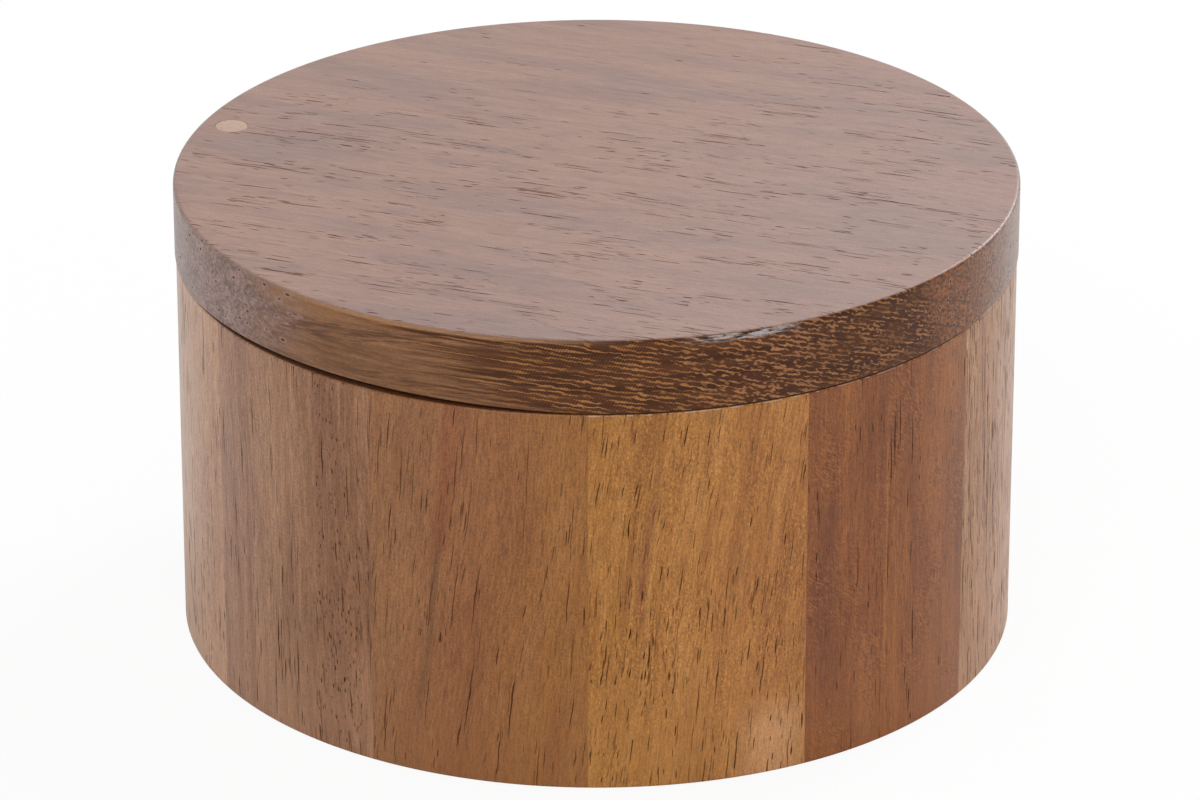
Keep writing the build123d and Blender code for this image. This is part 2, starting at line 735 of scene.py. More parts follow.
LONGEST = (0.4, 0.4, 26.0)
LONG = (0.4, 0.4, 17.0)
SHORT = (0.4, 0.4, 7.0)
DASHES = (0.38, 0.38, 3.2)
DOTS = (0.4, 0.4, 1.6)


class Tone(Enum):
    """The named boards that the staves are cut from."""

    TAN = Board(
        (srgb(174, 133, 103), srgb(174, 132, 102), srgb(168, 126, 98)),
        srgb(140, 98, 74), srgb(188, 150, 120),
        (Pores(LONG, 0.3), Pores(SHORT, 0.4), Pores(DASHES, 0.7, middle=10.0, spread=12.0, top=42.0)),
        lean=-0.02, streaks=0.35
    )
    GREY_BROWN = Board(
        (srgb(146, 108, 86), srgb(148, 108, 80), srgb(131, 89, 60)), srgb(112, 76, 54), srgb(164, 123, 94),
        (
            Pores(LONG, 0.7, 0.15, 0.32), Pores(SHORT, 0.5, 0.16, 0.34, top=44.0),
            Pores(DOTS, 0.9, 0.18, 0.37, middle=11.0, spread=6.0)
        ),
        lean=-0.03, streaks=0.45, smokes=(Smoke(9.5, 4.5, -30.0, 90.0, 0.45, srgb(116, 76, 56)),)
    )
    BROWN = Board(
        (srgb(136, 93, 60), srgb(131, 82, 48), srgb(141, 91, 42)), srgb(112, 66, 38), srgb(152, 103, 62),
        (
            Pores(LONGEST, 1.1, 0.13, 0.29), Pores(SHORT, 0.35, 0.15, 0.31),
            Pores(DASHES, 0.3, middle=-12.0, spread=8.0, top=44.0)
        ),
        lean=0.1, bend=2.2, clouds=0.3, streaks=0.25,
        smokes=(
            Smoke(-9.2, 1.3, 6.0, 44.0, 0.5, srgb(84, 56, 34)),
            Smoke(-9.2, 2.4, 32.0, 66.0, 0.5, srgb(118, 60, 34)),
            Smoke(11.0, 2.4, -8.0, 18.0, 0.4, srgb(118, 62, 38)),
        )
    )
    GOLDEN = Board(
        (srgb(150, 98, 41), srgb(160, 105, 50), srgb(158, 101, 52)), srgb(124, 74, 36), srgb(180, 128, 70),
        (Pores(LONG, 0.85, 0.14, 0.31), Pores(SHORT, 1.0, 0.15, 0.33), Pores(DASHES, 0.5, top=50.0)),
        lean=0.12, bend=2.0, clouds=0.5, streaks=0.35, mottle=0.6, rim_highlight=0.4,
        smokes=(
            Smoke(-11.5, 1.0, 22.0, 52.0, 0.55, srgb(118, 66, 42)),
            # Painted sheen: a pale reflection low on the board's right, not a streak in the wood.
            Smoke(10.0, 8.0, -10.0, 14.0, 0.7, srgb(196, 148, 110)),
        )
    )
    RED_BROWN = Board(
        (srgb(128, 75, 41), srgb(132, 76, 36), srgb(133, 79, 42)), srgb(106, 58, 32), srgb(152, 94, 48),
        (Pores(LONG, 0.2), Pores(SHORT, 0.2), Pores(DASHES, 0.15)),
        clouds=0.6, streaks=0.4, ripple=0.8, rim_highlight=0.3,
        smokes=(
            Smoke(-13.0, 3.6, 2.0, 46.0, 0.5, srgb(98, 56, 38)),
            Smoke(-6.0, 3.0, -8.0, 22.0, 0.3, srgb(160, 106, 70)),
            Smoke(-2.4, 0.36, 8.0, 56.0, 0.5, srgb(168, 108, 56)),
            Smoke(-0.4, 0.3, 2.0, 46.0, 0.4, srgb(168, 108, 56)),
        )
    )
    PINKISH = Board(
        (srgb(158, 112, 76), srgb(162, 117, 84), srgb(162, 117, 86)), srgb(124, 82, 58), srgb(176, 134, 102),
        (Pores(LONG, 1.0), Pores(SHORT, 1.0), Pores(DASHES, 0.5)),
        lean=-0.03, streaks=0.7
    )


@dataclass(frozen=True)
class StaveFinish:
    """Oiled, sanded stave: soft colour bands, fibres and open pores that run up the board.

    centre is the azimuth of the stave's middle and half_turn half its share of the ring, in degrees.
    radius is the ring's outer radius and height its height, in metres.
    """

    board: Board
    centre: float
    half_turn: float
    radius: float
    height: float
    shift: float
    pore: Colour = srgb(62, 32, 18)
    gold: Colour = srgb(190, 134, 62)
    # The pale colour below is the painted highlight along the rim's outer edge.
    pale: Colour = srgb(214, 204, 190)
    # The dark rim colour below is end grain, painted darker than the wood would be so that it also stands in
    # for the shade in the gap under the lid.
    end_grain_and_gap_shade: Colour = srgb(60, 36, 21)
    tint_stops: Tuple[float, ...] = (0.15, 0.5, 0.85)
    clouds: Lumps = Lumps((8, 7, 34), 3, 3, BAND)
    streaks: Lumps = Lumps((2.2, 1.7, 30), 5, 3, BAND)
    fibres: Lumps = Lumps((0.5, 0.4, 11), 6, 2, BAND)
    fibre_share: float = 0.7
    grit: float = 0.5
    gloss: float = 0.3
    # Below the next height, painted bounced light from the floor pales the board; the field after it is its
    # greatest share.
    foot: float = 26.0
    bounce_light_share: float = 0.3
    waver: Lumps = Lumps((6, 3, 18), 0, 3, BAND)
    waver_reach: float = 2.0
    smoke_fade: float = 8.0
    curls: Lumps = Lumps((0.36, 0.3, 0.5), 0, 2, 0.65)
    curl_patches: Lumps = Lumps((9, 9, 15), 1, span=(0.4, 0.6, 0.35, 1.0))
    ripples: Lumps = Lumps((0.9, 0.9, 0.26))
    ripple_patches: Lumps = Lumps((7, 7, 13), 5, span=(0.4, 0.64))
    ripple_skew: float = 0.8
    ripple_reach: float = 0.16
    clusters: Lumps = Lumps((5, 5, 16), 9, 1, BAND, (0.36, 0.62, 0.35, 1.0))
    pore_shifts: Tuple[float, float] = (0.0, 4.0)
    seam: Stretch = (0.16, 0.05)
    seam_patches: Lumps = Lumps((3, 3, 5), span=(0.42, 0.62))
    seam_share: float = 0.35
    end_depth: Stretch = (0.12, 0.03)
    end_fibres: Lumps = Lumps((0.5, 0.8, 1.4), 0, 4, 0.7)
    end_stops: Tuple[float, ...] = (0.34, 0.72)
    end_grain_shade_share: float = 0.8
    rim_highlight_rise: Stretch = (0.3, 0.2)
    rim_highlight_fall: Stretch = (0.06, 0.14)
    rim_highlight_breaks: Lumps = Lumps((1.6, 1.6, 1.6), 3, 3, 0.7, (0.44, 0.58))

    def build(self, name: str) -> bpy.types.Material:
        """Builds the stave's material.

        Args:
            name: the material's name.

        Returns:
            The material: a colour that changes over the board's width, then clouds, streaks, smoky veins (on
                one
            board also a painted sheen), figure, grit, painted bounced light that pales the foot, glue lines,
            dark end grain that also stands in for the shade under the lid, a painted highlight along the rim
            on some boards, and pores, one over the other.
        """
        board = self.board
        wood = Timber(name, heading(self.centre), UP, self.shift, board.lean, board.bend)

        half = self.radius / MM * math.sin(math.radians(self.half_turn))
        upright = board.lean * self.height / MM / 2
        over = wood.line(wood.plus(wood.follow, upright), 0.5 / half, 0.5)
        colour = wood.ramp(over, Tones(self.tint_stops, board.tints))
        for lumps, strength in ((self.clouds, board.clouds), (self.streaks, board.streaks),
                                (self.fibres, self.fibre_share * board.streaks)):
            colour = wood.shaded(colour, wood.bands(lumps), strength, board.dusk, board.glow)
        for smoke in board.smokes:
            colour = self.smoked(wood, colour, smoke)
        if board.mottle:
            colour = self.mottled(wood, colour)
        if board.ripple:
            colour = self.rippled(wood, colour)
        # Painted light: the foot is drawn towards the board's light tone, standing in for light bounced up
        # from the floor.
        painted_bounce = wood.times(wood.step(wood.along, self.foot, 0.0), self.bounce_light_share)
        colour = self.worn(wood, wood.mix(painted_bounce, wood.grit(colour, self.grit), board.glow))

        pores = wood.scattered(board.pores, wood.bands(self.clusters), self.pore_shifts)
        colour = wood.mix(wood.times(pores, PORE_SHARE), colour, self.pore)
        return wood.finish(colour, pores, self.gloss)

    def smoked(self, wood: Timber, colour: Socket, smoke: Smoke) -> Socket:
        """Changes a colour along one smoky streak with wavering edges.

        Args:
            wood: the board.
            colour: the colour so far.
            smoke: the streak.

        Returns:
            The changed colour.
        """
        waver = wood.noise(wood.flow, self.waver, self.shift + smoke.across)
        beside = wood.minus(wood.follow, smoke.across + self.waver_reach)
        offset = wood.math("ABSOLUTE", wood.line(waver, 2 * self.waver_reach, beside))
        rise = (smoke.low, smoke.low + self.smoke_fade)
        fall = (smoke.high, smoke.high - self.smoke_fade)
        body = wood.step(offset, smoke.width, 0.0)
        share = wood.times(body, wood.window(wood.along, rise, fall), smoke.strength)
        return wood.mix(share, colour, smoke.colour)

    def mottled(self, wood: Timber, colour: Socket) -> Socket:
        """Strews fine golden and brown curls over patches of a board.

        Args:
            wood: the board.
            colour: the colour so far.

        Returns:
            The changed colour.
        """
        curls = wood.still(self.curls)
        share = wood.times(wood.still(self.curl_patches), self.board.mottle)
        return wood.shaded(colour, curls, share, self.board.dusk, self.gold)

    def rippled(self, wood: Timber, colour: Socket) -> Socket:
        """Crosses patches of a board with fine light and dark ripples.

        Args:
            wood: the board.
            colour: the colour so far.

        Returns:
            The changed colour.
        """
        skewed = wood.line(wood.across, self.ripple_skew, wood.along)
        waves = wood.noise(wood.join(wood.through, wood.across, skewed), self.ripples, self.shift)
        share = wood.times(wood.still(self.ripple_patches), self.board.ripple)
        return wood.shaded(colour, waves, share, self.board.dusk, self.board.glow, self.ripple_reach)

    def worn(self, wood: Timber, colour: Socket) -> Socket:
        """Adds the fine glue lines, the dark end grain on the rim, painted darker to stand in for the shade
        in the gap under the lid too, and, on some boards, a painted highlight along the rim's outer edge.

        Args:
            wood: the board.
            colour: the colour so far.

        Returns:
            The changed colour. The distance from an edge plane, which sets the glue lines, is
            through * sin(half turn) - |across| * cos(half turn).
        """
        half = math.radians(self.half_turn)
        side = wood.times(wood.math("ABSOLUTE", wood.across), math.cos(half))
        gap = wood.minus(wood.times(wood.through, math.sin(half)), side)
        glued = wood.times(wood.step(gap, *self.seam), wood.still(self.seam_patches))
        colour = wood.mix(wood.times(glued, self.seam_share), colour, self.pore)

        height = self.height / MM
        end_from, rim_highlight_from, rim_highlight_until = (
            [height - depth for depth in depths] for depths in (self.end_depth, self.rim_highlight_rise, self.rim_highlight_fall)
        )
        # Dark end grain on the rim's top: partly the wood's own darker end grain, partly painted shade for
        # the gap under the lid.
        fibres = wood.still(self.end_fibres)
        end = wood.ramp(fibres, Tones(self.end_stops, (self.end_grain_and_gap_shade, self.board.dusk)))
        colour = wood.mix(wood.times(wood.step(wood.along, *end_from), self.end_grain_shade_share), colour, end)
        # Painted highlight: a pale, broken line along the rim's rounded outer edge, where light would catch
        # it.
        if self.board.rim_highlight:
            near = wood.window(wood.along, rim_highlight_from, rim_highlight_until)
            share = wood.times(near, wood.still(self.rim_highlight_breaks), self.board.rim_highlight)
            colour = wood.mix(share, colour, self.pale)
        return colour


# ---------------------------------------------------------------- the lid's board


class LidTimber(Timber):
    """The lid's board, with each point's place on the rim too.

    `arc` is how far it lies round from the front, to the right, `rise` is how high it stands above the
    lid's underside, and `rim` is the place that holds both.
    """

    def __init__(self, name: str, along: Vector, shift: float, radius: float, low: float) -> None:
        """Starts a material and lays the places out.

        Args:
            name: the material's name.
            along: the direction of the grain.
            shift: moves this board's noise away from the other boards'.
            radius: the lid's radius, in metres.
            low: the height of its underside, in metres.
        """
        super().__init__(name, UP, along, shift)
        x, y, z = self.parts(board_place(self, Euler((0, 0, 0))))
        self.arc = self.times(self.math("ARCTAN2", x, self.times(y, -1.0)), radius / MM)
        self.rise = self.minus(z, low / MM)
        self.rim = self.join(self.arc, self.rise, 0.0)

    def past(self, span: Stretch) -> Socket:
        """Takes a soft step over a stretch of the way round the rim."""
        return self.step(self.arc, *span)


@dataclass(frozen=True)
class FaceLook:
    """The lid's quiet flat faces, with clustered pores that are louder in one half."""

    tints: Tones = Tones((0.34, 0.5, 0.66), (srgb(157, 123, 109), srgb(151, 119, 107), srgb(139, 112, 103)))
    dusk: Colour = srgb(126, 94, 82)
    glow: Colour = srgb(168, 136, 122)
    patch: Colour = srgb(128, 104, 98)
    far: Colour = srgb(166, 142, 136)
    pore: Colour = srgb(74, 34, 10)
    pores: Tuple[Pores, ...] = (
        Pores((0.52, 0.46, 15.0), 0.6, 0.16, 0.34), Pores((0.5, 0.44, 8.5), 0.72, 0.16, 0.34),
        Pores((0.46, 0.44, 4.0), 0.28, 0.16, 0.34),
    )
    pore_shifts: Tuple[float, float] = (1.0, 3.0)
    bands: Lumps = Lumps((9, 9, 46), 6, 2, BAND)
    streaks: Lumps = Lumps((1.8, 1.5, 28), 8, 3, BAND)
    streak_share: float = 0.24
    fibres: Lumps = Lumps((0.5, 0.45, 7), 9, 2, BAND)
    fibre_share: float = 0.28
    loud_across: Stretch = (-34.0, -4.0)
    loud_along: Stretch = (-14.0, 22.0)
    patches: Lumps = Lumps((3.4, 3.4, 9), 14, 3, BAND, (0.54, 0.68, 0.0, 0.5))
    patch_loudness: Stretch = (0.0, 1.0, 0.3, 1.0)
    far_along: Stretch = (-20.0, 62.0, 0.0, 0.4)
    clusters: Lumps = Lumps((6, 6, 18), 8, 2, BAND, (0.42, 0.6, 0.15, 1.0))
    cluster_across: Stretch = (-60.0, -10.0, 0.6, 1.0)
    cluster_loudness: Stretch = (0.0, 1.0, 0.35, 1.0)

    def draw(self, wood: Timber) -> Tuple[Socket, Socket]:
        """Draws the faces.

        Args:
            wood: the lid's board.

        Returns:
            Their colour, and how deep in a pore a point is.
        """
        colour = wood.ramp(wood.bands(self.bands), self.tints)
        for lumps, strength in ((self.streaks, self.streak_share), (self.fibres, self.fibre_share)):
            colour = wood.shaded(colour, wood.bands(lumps), strength, self.dusk, self.glow)

        loud = wood.most(wood.step(wood.across, *self.loud_across), wood.step(wood.along, *self.loud_along))
        patch = wood.times(wood.bands(self.patches), wood.step(loud, *self.patch_loudness))
        colour = wood.mix(patch, colour, self.patch)
        colour = wood.mix(wood.step(wood.along, *self.far_along), colour, self.far)

        cluster = wood.times(wood.bands(self.clusters), wood.step(wood.across, *self.cluster_across),
                             wood.step(loud, *self.cluster_loudness))
        pores = wood.scattered(self.pores, cluster, self.pore_shifts)
        return wood.mix(wood.times(pores, PORE_SHARE), colour, self.pore), pores


@dataclass(frozen=True)
class PlainEdge:
    """The rim around its heartwood, from greyish end grain at the left, over tan and brown, to the back."""

    end: Tones = Tones((0.34, 0.66), (srgb(86, 62, 53), srgb(153, 122, 113)))
    tan: Tones = Tones((0.36, 0.64), (srgb(98, 62, 35), srgb(132, 92, 60)))
    brown: Tones = Tones((0.39, 0.61), (srgb(62, 28, 7), srgb(146, 85, 36)))
    pale: Tones = Tones((0.4, 0.6), (srgb(102, 76, 63), srgb(148, 119, 105)))
    back: Tones = Tones((0.36, 0.64), (srgb(104, 74, 56), srgb(138, 106, 84)))
    strip: Colour = srgb(148, 104, 66)
    vein: Colour = srgb(76, 44, 28)
    dot: Colour = srgb(60, 34, 20)
    mottle: Lumps = Lumps((0.5, 0.5, 1.4), 4, 4, 0.7)
    clouds: Lumps = Lumps((2.2, 2.6, 5), 5)
    cloud_reach: float = 0.2
    grain: Lumps = Lumps((16, 1.2, 1), 6, 4, 0.7)
    border: Lumps = Lumps((14, 4, 1), 2)
    border_reach: float = 12.0
    tan_from: Stretch = (-62.0, -42.0)
    brown_from: Stretch = (0.0, 30.0)
    pale_from: Stretch = (64.0, 86.0)
    back_from: Stretch = (105.0, 135.0)
    back_until: Stretch = (-150.0, -180.0)
    back_streaks: Lumps = Lumps((0.9, 1.2, 22), 16, 4, BAND)
    climb: float = 0.12
    strip_height: Stretch = (13.2, 14.2)
    strip_from: Stretch = (-56.0, -40.0, 0.0, 0.35)
    threads: Lumps = Lumps((6, 0.36, 1), 9, 3, 0.6, (0.48, 0.6))
    upper_middle: float = 12.2
    upper_height: Stretch = (2.0, 0.9)
    upper_from: Stretch = (-58.0, -48.0)
    lower_rise: Stretch = (1.0, 1.8)
    lower_fall: Stretch = (3.6, 2.6)
    lower_from: Stretch = (-42.0, -31.0)
    vein_until: Stretch = (0.0, -16.0, 0.0, 0.75)
    dot_pitch: Triple = (1.5, 1.5, 8)
    dot_shift: float = 7.0
    dots_until: Stretch = (-40.0, -54.0, 0.08, 0.75)
    dots_from: Stretch = (52.0, 64.0, 0.0, 0.7)
    dot_edge: Stretch = (0.18, 0.1)
    dot_share: float = 0.8
    halo_edge: Stretch = (0.32, 0.2)
    halo_share: float = 0.5

    def draw(self, wood: LidTimber) -> Tuple[Socket, Socket]:
        """Draws the plain rim.

        Args:
            wood: the lid's board.

        Returns:
            Its colour, and how deep in a pore a point is.
        """
        mottle = wood.noise(wood.place, self.mottle)
        clouded = wood.plus(mottle, wood.wander(wood.place, self.clouds, self.cloud_reach))
        tan = wood.ramp(wood.noise(wood.rim, self.grain), self.tan)
        moved = wood.plus(wood.arc, wood.wander(wood.rim, self.border, self.border_reach))
        colour = wood.mix(wood.step(moved, *self.tan_from), wood.ramp(clouded, self.end), tan)
        colour = wood.mix(wood.step(moved, *self.brown_from), colour, wood.ramp(mottle, self.brown))
        colour = wood.mix(wood.past(self.pale_from), colour, wood.ramp(mottle, self.pale))
        behind = wood.most(wood.past(self.back_from), wood.past(self.back_until))
        colour = wood.mix(behind, colour, wood.ramp(wood.bands(self.back_streaks), self.back))

        climb = wood.line(wood.arc, -self.climb, wood.rise)
        strip = wood.times(wood.step(climb, *self.strip_height), wood.step(moved, *self.strip_from))
        colour = wood.mix(strip, colour, self.strip)
        colour = wood.mix(self.veins(wood, climb), colour, self.vein)

        distance, chance = wood.cells(wood.place, self.dot_pitch, self.dot_shift)
        dotted = wood.most(wood.step(moved, *self.dots_until), wood.past(self.dots_from))
        chosen = wood.math("LESS_THAN", wood.parts(chance)[0], dotted)
        halo = wood.times(wood.step(distance, *self.halo_edge), chosen)
        dots = wood.times(wood.step(distance, *self.dot_edge), chosen)
        colour = wood.mix(wood.times(halo, self.halo_share), colour, self.end.colours[1])
        return wood.mix(wood.times(dots, self.dot_share), colour, self.dot), dots

    def veins(self, wood: LidTimber, climb: Socket) -> Socket:
        """Gives the dark veins in the tan: one band that climbs to the right, and one along the foot.

        Args:
            wood: the lid's board.
            climb: the height above a line that climbs to the right.

        Returns:
            How dark they are, 0 to 1.
        """
        threads = wood.noise(wood.join(wood.arc, climb, 0.0), self.threads)
        upper = wood.times(wood.step(wood.apart(climb, self.upper_middle), *self.upper_height),
                           wood.past(self.upper_from))
        lower = wood.times(wood.window(wood.rise, self.lower_rise, self.lower_fall),
                           wood.past(self.lower_from))
        where = wood.times(wood.most(upper, lower), wood.past(self.vein_until))
        return wood.times(threads, where)


@dataclass(frozen=True)
class Heartwood:
    """The dark figured heartwood at the front of the rim.

    Its golden threads lie in growth layers that rise across the board by `tilt`, so they run level at the
    left, where the rim follows the grain, and fall away and break into dots to the right. A thread is
    where noise that is drawn out along the grain, plus a beat of one wave to each layer, is high.
    """

    ground: Tones = Tones((0.4, 0.62), (srgb(62, 33, 17), srgb(86, 50, 27)))
    gold: Tones = Tones((0.4, 0.62), (srgb(122, 77, 38), srgb(157, 106, 61)))
    far_ground: Colour = srgb(70, 41, 27)
    far_gold: Colour = srgb(162, 113, 76)
    far_brown: Colour = srgb(90, 53, 28)
    near_gold: Colour = srgb(132, 92, 60)
    tilt: float = 0.42
    kink: Lumps = Lumps((0.9, 0.8, 1.5), 5, 2, 0.6)
    kink_rise: Stretch = (-26.0, 4.0, 0.25, 0.9)
    kink_fall: Stretch = (26.0, 42.0, 1.0, 0.6)
    beat: float = 0.74
    beat_share: Stretch = (0.0, 30.0, 0.15, 0.1)
    grain: Lumps = Lumps((0.3, 1.2, 10), 3)
    crowd: Lumps = Lumps((7, 1.8, 1), 17, 2, 0.6)
    crowd_share: Stretch = (8.0, 30.0, 0.1, 0.14)
    threshold: Stretch = (8.0, 30.0, 0.51, 0.475)
    thread_edge: Stretch = (0.0, 0.08)
    thread_share: float = 0.9
    bead_pitch: Triple = (0.72, 0.8, 5)
    bead_shift: float = 19.0
    bead_edge: Stretch = (0.34, 0.2)
    bead_from: Stretch = (8.0, 24.0, 0.0, 0.8)
    hatch_round: float = 2.3
    hatch_up: float = -1.1
    hatch_until: Stretch = (22.0, 6.0, 0.0, 0.1)
    tone: Lumps = Lumps((26, 1.4, 1), 7, 3)
    bright: Lumps = Lumps((1.2, 2, 9), 14)
    far_ground_from: Stretch = (12.0, 44.0, 0.0, 0.7)
    far_gold_from: Stretch = (4.0, 30.0, 0.0, 0.7)
    near_gold_until: Stretch = (-8.0, -24.0, 0.0, 0.5)
    dull_patches: Lumps = Lumps((9, 3, 1), 18, span=(0.42, 0.6, 0.0, 0.6))
    dull_from: Stretch = (26.0, 44.0)
    fingers: Lumps = Lumps((24, 0.9, 1), 10)
    finger_reach: float = 30.0
    start: float = -19.0
    start_lean: float = -0.8
    start_edge: Stretch = (-10.0, 14.0)
    end: float = 57.5
    end_lean: float = 0.35
    end_wander: Lumps = Lumps((6, 3, 1), 11)
    end_reach: float = 2.5
    end_edge: Stretch = (-2.5, 2.5)
    speckle: Lumps = Lumps((0.5, 0.5, 1.6), 12)
    speckle_reach: float = -6.0

    def layer(self, wood: LidTimber) -> Socket:
        """Gives how high a point lies in the tilted growth layers."""
        return wood.line(wood.across, -self.tilt, wood.through)

    def draw(self, wood: LidTimber) -> Tuple[Socket, Socket]:
        """Draws the heartwood.

        Args:
            wood: the lid's board.

        Returns:
            Its colour, and its share of the rim at each point.
        """
        layer = self.layer(wood)
        kink = wood.noise(wood.join(layer, wood.across, wood.along), self.kink)
        wavy = wood.line(kink, wood.window(wood.arc, self.kink_rise, self.kink_fall), layer)
        figure = wood.join(wavy, wood.across, wood.along)

        slant = wood.line(wood.rise, self.hatch_up, wood.times(wood.arc, self.hatch_round))
        hatched = wood.times(wood.wave(slant), wood.past(self.hatch_until))
        ground = wood.ramp(wood.plus(wood.noise(wood.rim, self.tone), hatched), self.ground)
        ground = wood.mix(wood.past(self.far_ground_from), ground, self.far_ground)
        gold = wood.ramp(wood.plus(wood.noise(figure, self.bright), hatched), self.gold)
        gold = wood.mix(wood.past(self.far_gold_from), gold, self.far_gold)
        gold = wood.mix(wood.past(self.near_gold_until), gold, self.near_gold)
        threads = self.threads(wood, wavy, figure)
        heart = wood.mix(wood.times(threads, self.thread_share), ground, gold)
        dulled = wood.times(wood.noise(wood.rim, self.dull_patches), wood.past(self.dull_from))
        return wood.mix(dulled, heart, self.far_brown), self.share(wood)

    def threads(self, wood: LidTimber, wavy: Socket, figure: Socket) -> Socket:
        """Gives the golden threads, and the beads among them at the right.

        Args:
            wood: the lid's board.
            wavy: the height in the kinked growth layers.
            figure: the place in those layers, across the board and along it.

        Returns:
            How golden a point is, 0 to 1.
        """
        beat = wood.wave(wavy, self.beat)
        value = wood.line(beat, wood.past(self.beat_share), wood.noise(figure, self.grain))
        threshold = wood.line(wood.noise(wood.rim, self.crowd), wood.past(self.crowd_share),
                              wood.past(self.threshold))
        threads = wood.step(wood.minus(value, threshold), *self.thread_edge)
        distance, _ = wood.cells(figure, self.bead_pitch, self.bead_shift)
        beads = wood.times(wood.step(distance, *self.bead_edge), wood.past(self.bead_from))
        return wood.most(threads, beads)

    def share(self, wood: LidTimber) -> Socket:
        """Gives where the heartwood lies: from long fingers at the left to a speckled border at the right.

        Args:
            wood: the lid's board.

        Returns:
            The heartwood's share of the rim, 0 to 1.
        """
        fingers = wood.line(wood.noise(wood.rim, self.fingers), 2 * self.finger_reach,
                            wood.minus(wood.arc, self.finger_reach))
        left = wood.minus(fingers, wood.line(wood.rise, self.start_lean, self.start))
        wander = wood.wander(wood.rim, self.end_wander, self.end_reach)
        leaned = wood.line(wood.rise, self.end_lean, wood.plus(wood.arc, wander))
        speckle = wood.wander(wood.place, self.speckle, self.speckle_reach)
        right = wood.minus(speckle, wood.minus(leaned, self.end))
        return wood.times(wood.step(left, *self.start_edge), wood.step(right, *self.end_edge))


@dataclass(frozen=True)
class EdgeMarks:
    """What lies over the whole rim: growth lines, a painted glint and a painted highlight along the upper
    edge.
    """

    ring_gap: float = 3.9
    ring_start: float = 0.397
    ring_reach: float = 0.6
    ring_line: Stretch = (0.07, 0.02)
    ring_from: Stretch = (18.0, 40.0, 0.0, 0.75)
    ring_until: Stretch = (72.0, 62.0)
    ring_patches: Lumps = Lumps((8, 2, 1), 21, 1, span=(0.36, 0.58, 0.3, 1.0))
    # Painted highlight: a cool, broken glint under the upper edge, where light catches the rim.
    glint: Colour = srgb(176, 173, 177)
    glint_share: float = 0.75
    glint_from: Stretch = (11.0, 19.0)
    glint_until: Stretch = (32.0, 26.0)
    glint_rise: Stretch = (9.7, 10.5)
    glint_fall: Stretch = (11.15, 10.95)
    glint_breaks: Lumps = Lumps((2.4, 0.24, 1), 15, 3, 0.6, (0.42, 0.58))
    # Painted highlight: a light line along the rounded upper edge, left of the front, where light catches it.
    edge_highlight_tones: Tuple[Colour, Colour] = (srgb(138, 112, 100), srgb(166, 126, 92))
    edge_highlight_change: Stretch = (-60.0, -36.0)
    edge_highlight_height: Stretch = (10.5, 10.85)
    edge_highlight_until: Stretch = (6.0, -10.0, 0.0, 0.5)

    def ringed(self, wood: LidTimber, heart: Heartwood, colour: Socket) -> Socket:
        """Draws the thin dark growth lines that slant down over the heartwood's right-hand end.

        Args:
            wood: the lid's board.
            heart: the heartwood, whose layers they follow.
            colour: the colour so far.

        Returns:
            The changed colour.
        """
        wander = wood.wander(wood.rim, heart.end_wander, self.ring_reach)
        share = wood.line(wood.plus(heart.layer(wood), wander), 1 / self.ring_gap, self.ring_start)
        offset = wood.apart(wood.math("FRACT", share), 0.5)
        line = wood.times(
            wood.step(offset, *self.ring_line), wood.past(self.ring_from),
            wood.noise(wood.rim, self.ring_patches), wood.past(self.ring_until)
        )
        return wood.mix(line, colour, heart.ground.colours[0])

    def glinted(self, wood: LidTimber, colour: Socket) -> Socket:
        """Paints the cool glint of a highlight under the upper edge, right of the front, broken up by noise.

        Args:
            wood: the lid's board.
            colour: the colour so far.

        Returns:
            The changed colour.
        """
        share = wood.times(
            wood.window(wood.arc, self.glint_from, self.glint_until),
            wood.window(wood.rise, self.glint_rise, self.glint_fall),
            wood.noise(wood.rim, self.glint_breaks), self.glint_share
        )
        return wood.mix(share, colour, self.glint)

    def eased(self, wood: LidTimber, colour: Socket) -> Socket:
        """Paints a light line, a highlight, along the rounded upper edge, left of the front.

        Args:
            wood: the lid's board.
            colour: the colour so far.

        Returns:
            The changed colour.
        """
        share = wood.times(wood.step(wood.rise, *self.edge_highlight_height), wood.past(self.edge_highlight_until))
        tone = wood.mix(wood.past(self.edge_highlight_change), *self.edge_highlight_tones)
        return wood.mix(share, colour, tone)


